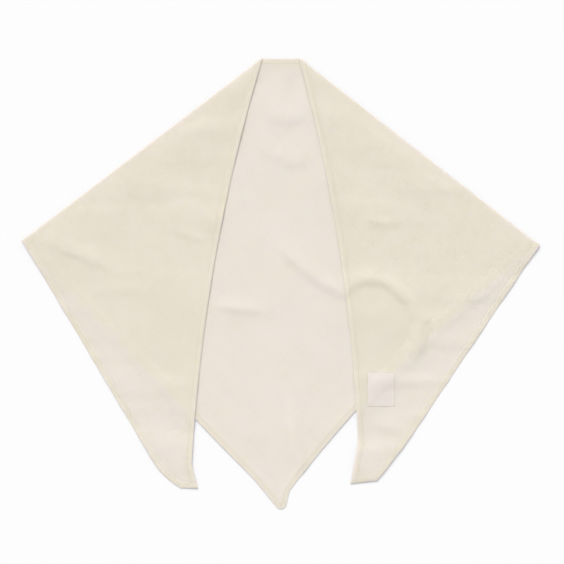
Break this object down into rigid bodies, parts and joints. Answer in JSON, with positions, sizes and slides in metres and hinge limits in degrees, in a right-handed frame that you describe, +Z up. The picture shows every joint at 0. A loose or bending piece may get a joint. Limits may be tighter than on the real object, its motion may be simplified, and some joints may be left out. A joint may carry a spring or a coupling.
{
  "type": "arm sling",
  "caption": "Triangular calico arm sling lying flat, hemmed all round, with both ends of its long edge folded down over the back panel as tails.",
  "frame": {"origin": "under the middle of the folded sling, on the surface that it lies on", "axes": "+Z up off the surface, +Y from the point towards the neck edge, +X towards the right corner"},
  "size_m": [0.749, 0.652, 0.0044],
  "materials": {
    "calico": "plain woven, unbleached, matte",
    "thread": "spun cotton sewing thread",
    "label_tape": "fine woven cotton tape"
  },
  "bodies": {
    "back_layer": {"back_panel": "calico", "neck_hem": "calico", "neck_hem_stitching": "thread", "panel_left_leg_hem": "calico", "panel_left_leg_hem_stitching": "thread", "panel_right_leg_hem": "calico", "panel_right_leg_hem_stitching": "thread", "left_fold": "calico", "right_fold": "calico"},
    "left_flap": {"left_tail": "calico", "left_tail_leg_hem": "calico", "left_tail_leg_hem_stitching": "thread", "left_tail_base_hem": "calico", "left_tail_base_hem_stitching": "thread"},
    "right_flap": {"right_tail": "calico", "right_tail_leg_hem": "calico", "right_tail_leg_hem_stitching": "thread", "right_tail_base_hem": "calico", "right_tail_base_hem_stitching": "thread", "label": "label_tape", "label_stitching": "thread"}
  },
  "joints": [
    {"name": "left_crease", "type": "hinge", "parent": "back_layer", "child": "left_flap", "pos_m": [-0.3745, 0.062, 0.0022], "axis": [-0.7963, -0.6049, 0], "range_deg": [0, 179.5], "deforming": ["left_fold"]},
    {"name": "right_crease", "type": "hinge", "parent": "back_layer", "child": "right_flap", "pos_m": [0.3745, 0.055, 0.0022], "axis": [-0.7886, 0.615, 0], "range_deg": [0, 179.5], "deforming": ["right_fold"]}
  ]
}
